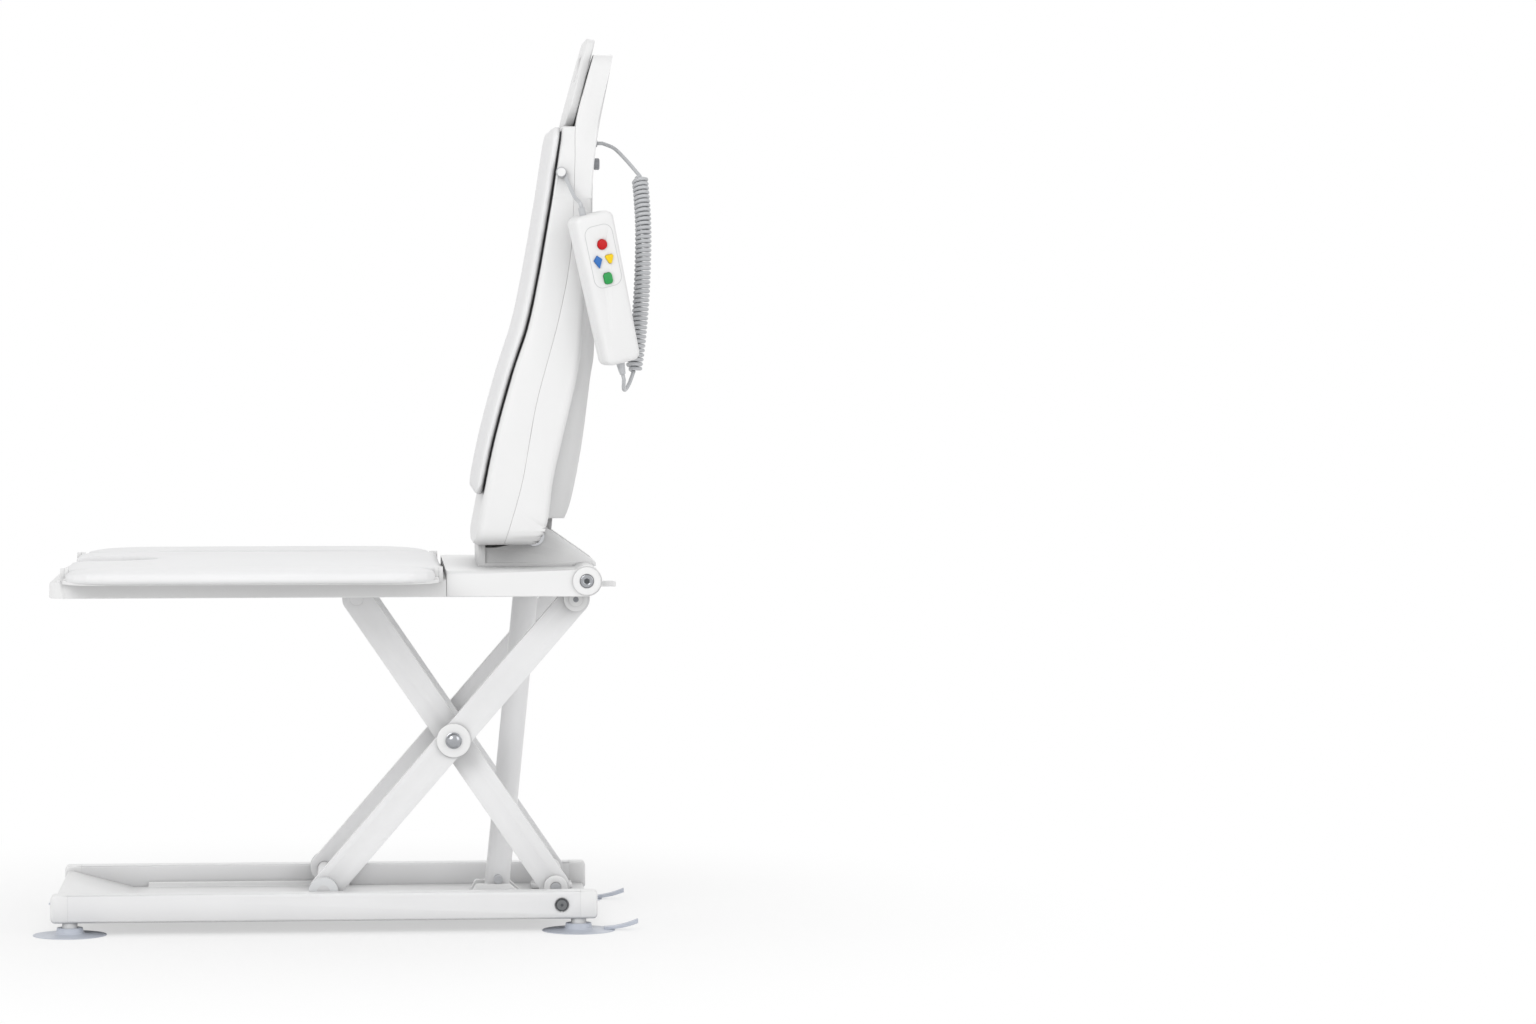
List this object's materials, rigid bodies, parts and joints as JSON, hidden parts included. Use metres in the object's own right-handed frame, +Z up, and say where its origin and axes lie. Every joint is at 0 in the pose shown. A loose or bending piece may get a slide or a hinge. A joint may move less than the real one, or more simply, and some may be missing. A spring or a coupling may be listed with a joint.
{
  "type": "bath lift",
  "caption": "Bath lift with a padded seat on a scissor frame, reclining back driven by a thrust tube, folding side flaps, suction feet and a corded handset",
  "frame": {"origin": "On the bath floor, under the middle of the base rails", "axes": "+X to the rear, -Y to the user's left, +Z up; the lift is raised with its back upright"},
  "size_m": [0.7269, 0.5838, 1.0522],
  "materials": {
    "white_plastic": "satin white moulded plastic",
    "white_metal": "white powder coat on aluminium",
    "soft_white": "white soft-touch foam skin",
    "glide_plastic": "pale bearing plastic",
    "steel": "brushed stainless steel",
    "chrome": "polished bolt heads",
    "brass": "machined nut",
    "cup_rubber": "translucent blue-grey rubber",
    "dark_plug": "dark grey plastic",
    "grey_plastic": "grey plastic",
    "cord_grey": "grey cord sheath",
    "board": "green board",
    "red": "red key",
    "blue": "blue key",
    "yellow": "yellow key",
    "green": "green key"
  },
  "bodies": {
    "base": {"rail_left": "white_metal", "rail_right": "white_metal", "floor_pan": "white_plastic", "rail_end_caps": "white_plastic", "rail_plugs": "dark_plug", "suction_cups": "cup_rubber", "cup_stems": "white_plastic", "rear_pivot_brackets": "white_plastic", "rear_pivot_pins": "steel", "foot_cradle": "white_plastic"},
    "inner_arms": {"arm_inner_left": "white_metal", "arm_inner_right": "white_metal", "upper_cross_tube": "white_metal", "upper_glides": "glide_plastic"},
    "outer_arms": {"arm_outer_left": "white_metal", "arm_outer_right": "white_metal", "front_cross_tube": "white_metal", "lower_glides": "glide_plastic", "centre_discs": "white_plastic", "centre_bolts": "chrome"},
    "seat": {"seat_pan": "white_plastic", "rear_housing": "white_plastic", "seat_pivot_pins": "steel", "side_bosses": "white_plastic", "boss_bolts": "chrome", "seat_pad": "soft_white", "pedestal": "white_plastic", "lever_pin": "steel", "flap_pins": "steel"},
    "flap_left": {"flap_panel_left": "white_plastic", "flap_pad_left": "soft_white"},
    "flap_right": {"flap_panel_right": "white_plastic", "flap_pad_right": "soft_white"},
    "lever": {"release_lever": "white_plastic"},
    "backrest": {"back_front_shell": "white_plastic", "back_rear_shell": "white_plastic", "back_pad": "soft_white", "handle_plate": "white_plastic", "hinge_yoke": "grey_plastic", "hinge_pins": "steel", "tube_bush": "glide_plastic", "gearbox": "grey_plastic", "motor": "steel", "cord_gland": "grey_plastic", "cord_stud": "grey_plastic", "curly_cord": "cord_grey"},
    "spindle": {"spindle": "steel"},
    "thrust_tube": {"thrust_tube": "white_metal", "foot_pin": "steel", "drive_nut": "brass"},
    "handset": {"handset_front": "white_plastic", "handset_rear": "white_plastic", "circuit_board": "board", "battery": "grey_plastic", "hang_strap": "grey_plastic", "cord_relief": "grey_plastic"},
    "stop_button": {"stop_button": "red"},
    "blue_button": {"blue_button": "blue"},
    "yellow_button": {"yellow_button": "yellow"},
    "green_button": {"green_button": "green"}
  },
  "joints": [
    {"name": "lift", "type": "hinge", "parent": "base", "child": "inner_arms", "pos_m": [0.272, 0, 0.046], "axis": [0, -1, 0], "range_deg": [0, 55.2]},
    {"name": "cross", "type": "hinge", "parent": "inner_arms", "child": "outer_arms", "pos_m": [0.15125, 0, 0.22299], "axis": [0, 1, 0], "range_deg": [-0.5, 104.37]},
    {"name": "seat_level", "type": "hinge", "parent": "outer_arms", "child": "seat", "pos_m": [0.295, 0, 0.389], "axis": [0, -1, 0], "range_deg": [-0.5, 49.17]},
    {"name": "recline", "type": "hinge", "parent": "seat", "child": "backrest", "pos_m": [0.248, 0, 0.462], "axis": [0, 1, 0], "range_deg": [0, 25]},
    {"name": "tube_slide", "type": "slide", "parent": "backrest", "child": "thrust_tube", "axis": [0.0993, 0, 0.9951], "range_m": [-0.002, 0.3452]},
    {"name": "spindle_turn", "type": "hinge", "parent": "backrest", "child": "spindle", "pos_m": [0.248, 0, 0.462], "axis": [0.0993, 0, 0.9951], "continuous": true},
    {"name": "flap_left_fold", "type": "hinge", "parent": "seat", "child": "flap_left", "pos_m": [-0.083, -0.19, 0.425], "axis": [-1, 0, 0], "range_deg": [0, 85]},
    {"name": "flap_right_fold", "type": "hinge", "parent": "seat", "child": "flap_right", "pos_m": [-0.083, 0.19, 0.425], "axis": [1, 0, 0], "range_deg": [0, 85]},
    {"name": "lever_lift", "type": "hinge", "parent": "seat", "child": "lever", "pos_m": [0.307, -0.06, 0.403], "axis": [0, -1, 0], "range_deg": [0, 9]},
    {"name": "handset_swing", "type": "hinge", "parent": "backrest", "child": "handset", "pos_m": [0.2785, -0.149, 0.8907], "axis": [0, 1, 0], "range_deg": [-10, 10], "deforming": ["curly_cord"]},
    {"name": "stop_button_press", "type": "slide", "parent": "handset", "child": "stop_button", "axis": [-0.3746, 0.9272, 0], "range_m": [0, 0.0015], "stiffness_N_per_m": 400, "springref_m": -0.002},
    {"name": "blue_button_press", "type": "slide", "parent": "handset", "child": "blue_button", "axis": [-0.3746, 0.9272, 0], "range_m": [0, 0.0015], "stiffness_N_per_m": 400, "springref_m": -0.002},
    {"name": "yellow_button_press", "type": "slide", "parent": "handset", "child": "yellow_button", "axis": [-0.3746, 0.9272, 0], "range_m": [0, 0.0015], "stiffness_N_per_m": 400, "springref_m": -0.002},
    {"name": "green_button_press", "type": "slide", "parent": "handset", "child": "green_button", "axis": [-0.3746, 0.9272, 0], "range_m": [0, 0.0015], "stiffness_N_per_m": 400, "springref_m": -0.002}
  ],
  "couplings": [
    {"joint": "cross", "follows": "lift", "ratio": 1.8817},
    {"joint": "seat_level", "follows": "lift", "ratio": 0.88175},
    {"joint": "tube_slide", "follows": "lift", "m_per_rad": 0.3562}
  ]
}
